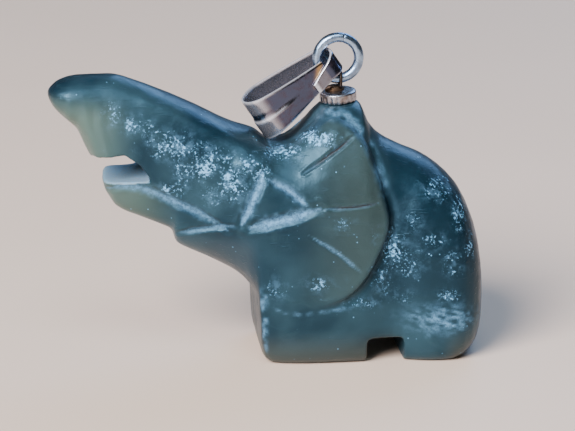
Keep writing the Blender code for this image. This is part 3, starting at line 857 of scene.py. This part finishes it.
# The cap's section: (radius, height, how much of the flutes' depth)
CAP_SECTION = [
    (0.50, 0.05, 0.0), (1.68, 0.05, 1.0), (1.79, 0.09, 1.0), (1.83, 0.18, 1.0), (1.83, 0.50, 0.95),
    (1.82, 0.68, 0.6), (1.82, 0.80, 0.15), (1.81, 0.92, 0.0), (1.77, 1.00, 0.0), (1.68, 1.045, 0.0),
    (1.40, 1.05, 0.0), (0.90, 1.06, 0.0), (0.50, 1.06, 0.0),
]  # fmt: skip
MOUND_SIZE = (1.00, 0.80, 0.60)
MOUND_CENTRE = (-0.25, 0.33, 1.04)


def make_cap(material):
    """A shallow cap with a hole for the eye and flutes round its skirt."""
    rows = []
    for radius, height, fluted in CAP_SECTION:
        ring = []
        for angle in np.linspace(0.0, 2 * math.pi, FLUTES * 10, endpoint=False):
            scallop = abs(math.sin(FLUTES * angle / 2))
            r = radius - fluted * FLUTE_DEPTH * (1.0 - scallop)
            ring.append(Vector((r * math.cos(angle), r * math.sin(angle), height)) * MM)
        rows.append(ring)
    mesh = grid_mesh("cap_shell", rows, closed_rows=True)
    mesh.transform(SEAT_TURN)
    cap = link("cap_shell", mesh, material)
    cap.data.set_sharp_from_angle(angle=math.radians(45))
    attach(cap, "pendant")
    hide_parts("peg_cap")


def make_solder(material):
    """An uneven mound of solder that has run round the eye's foot, its dark brown partly the solder's and
    partly painted shade under the bail's tab.
    """
    bm = bmesh.new()
    bmesh.ops.create_icosphere(bm, subdivisions=5, radius=1.0)
    mesh = bpy.data.meshes.new("solder_mound")
    bm.to_mesh(mesh)
    bm.free()
    points = points_of(mesh)
    points *= 1.0 + 0.10 * fractal_noise(points, 0.7, 3)[:, None]
    points = points * MOUND_SIZE + MOUND_CENTRE
    points[:, 2] = np.maximum(points[:, 2], MOUND_CENTRE[2])
    set_points(mesh, points * MM)
    mesh.transform(SEAT_TURN)
    mound = link("solder_mound", mesh, material)
    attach(mound, "pendant")
    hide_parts("solder_bead")


def make_eye(material):
    """The CAD eye with its facets rounded, its near-black colour painted shade."""
    rough = link("eye_wire", NODES["screw_eye"].data.copy(), material)
    weld = rough.modifiers.new("weld", "WELD")
    weld.merge_threshold = 1e-6
    smooth = rough.modifiers.new("smooth", "SUBSURF")
    smooth.levels = smooth.render_levels = 1
    eye = link("eye_wire", evaluated_mesh(rough), material)
    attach(eye, "pendant")
    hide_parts("screw_eye")


def cement_material():
    g = Graph("cement")
    grain = g.noise(0.2, 4.0, 0.7)
    colour = g.mix(g.span(grain, 0.35, 0.65), (0.42, 0.37, 0.26), (0.58, 0.53, 0.41))
    return g.finish(Base_Color=colour, Roughness=0.8, Normal=g.bump(grain, 0.03, 0.6))


# ---------------------------------------------------------------- stage

FLOOR_REACH = 1.5
LIGHT_AIM = (0.0, 0.0, 0.015)
# Round lights: (name, place, size, power, colour)
LIGHTS = [
    ("window", (-0.44, -0.52, 0.50), 0.50, 17.5, (0.94, 0.96, 1.0)),
    ("sky", (0.34, 0.58, 0.50), 0.56, 3.2, (0.30, 0.56, 1.0)),
    ("ceiling", (0.02, -0.42, 0.72), 0.40, 2.0, (0.72, 0.88, 1.0)),
]
WORLD_COLOUR = (0.84, 0.86, 0.88, 1.0)
WORLD_STRENGTH = 0.09


def make_floor():
    g = Graph("pale_floor")
    colour = g.mix(g.noise(60.0, 2.0, 0.5), (0.84, 0.62, 0.48), (0.90, 0.68, 0.54))
    corners = [(x * FLOOR_REACH, y * FLOOR_REACH, 0) for x, y in ((-1, -1), (1, -1), (1, 1), (-1, 1))]
    mesh = bpy.data.meshes.new("floor")
    mesh.from_pydata(corners, [], [(0, 1, 2, 3)])
    floor = link("floor", mesh, g.finish(Base_Color=colour, Roughness=0.55), smooth=False)


def add_light(name, place, size, power, colour):
    light = bpy.data.lights.new(name, "AREA")
    light.shape = "DISK"
    light.size = size
    light.energy = power
    light.color = colour
    obj = bpy.data.objects.new(name, light)
    obj.location = place
    obj.rotation_euler = (Vector(LIGHT_AIM) - Vector(place)).to_track_quat("-Z", "Y").to_euler()
    bpy.context.scene.collection.objects.link(obj)


def add_world():
    world = bpy.data.worlds.new("studio")
    bpy.context.scene.world = world
    world.use_nodes = True
    background = world.node_tree.nodes["Background"]
    background.inputs["Color"].default_value = WORLD_COLOUR
    background.inputs["Strength"].default_value = WORLD_STRENGTH


CAMERA_TARGET = Vector((2.15, 0.0, 13.7)) * MM
CAMERA_AZIMUTH = math.radians(-6.0)
CAMERA_ELEVATION = math.radians(15.0)
CAMERA_DISTANCE = 0.25
VIEW_WIDTH = 0.0575
SENSOR = 36.0


def add_camera():
    camera = bpy.data.cameras.new("camera")
    camera.sensor_width = SENSOR
    camera.lens = SENSOR * CAMERA_DISTANCE / VIEW_WIDTH
    camera.clip_start = 0.01
    obj = bpy.data.objects.new("camera", camera)
    level = math.cos(CAMERA_ELEVATION)
    back = Vector((
        math.sin(CAMERA_AZIMUTH) * level,
        -math.cos(CAMERA_AZIMUTH) * level,
        math.sin(CAMERA_ELEVATION),
    ))  # fmt: skip
    obj.location = CAMERA_TARGET + back * CAMERA_DISTANCE
    obj.rotation_euler = (-back).to_track_quat("-Z", "Y").to_euler()
    bpy.context.scene.collection.objects.link(obj)
    bpy.context.scene.camera = obj


# ---------------------------------------------------------------- build

make_floor()
add_world()
for settings in LIGHTS:
    add_light(*settings)
add_camera()
make_elephant()
make_ring(metal_material("plated_bright", (0.34, 0.48, 0.68), (0.14, 0.17, 0.24), roughness=0.24, grime=0.6))
# the worn colour also paints the bail's highlights, reflection and lit inner face, and the warm colour a warm
# reflection
make_bail(metal_material(
    "plated_sheet", (0.080, 0.095, 0.155), (0.10, 0.07, 0.095), roughness=0.17, grime=0.6,
    worn=(0.66, 0.65, 0.70), painted_warm_reflection=(0.46, 0.30, 0.15),
))  # fmt: skip
make_cap(metal_material("plated_cap", (0.36, 0.36, 0.40), (0.24, 0.16, 0.12), roughness=0.26, grime=0.7))
# solder brown, darkened as painted shade under the bail's tab
make_solder(metal_material("solder_and_painted_shade", (0.17, 0.10, 0.06), (0.06, 0.04, 0.03), roughness=0.45, grime=0.8))
# near black: painted shade on the eye under the bail
make_eye(metal_material("eye_painted_shade", (0.07, 0.05, 0.04), (0.04, 0.03, 0.025), roughness=0.35, grime=0.8))
NODES["peg_cement"].data.materials.clear()
NODES["peg_cement"].data.materials.append(cement_material())
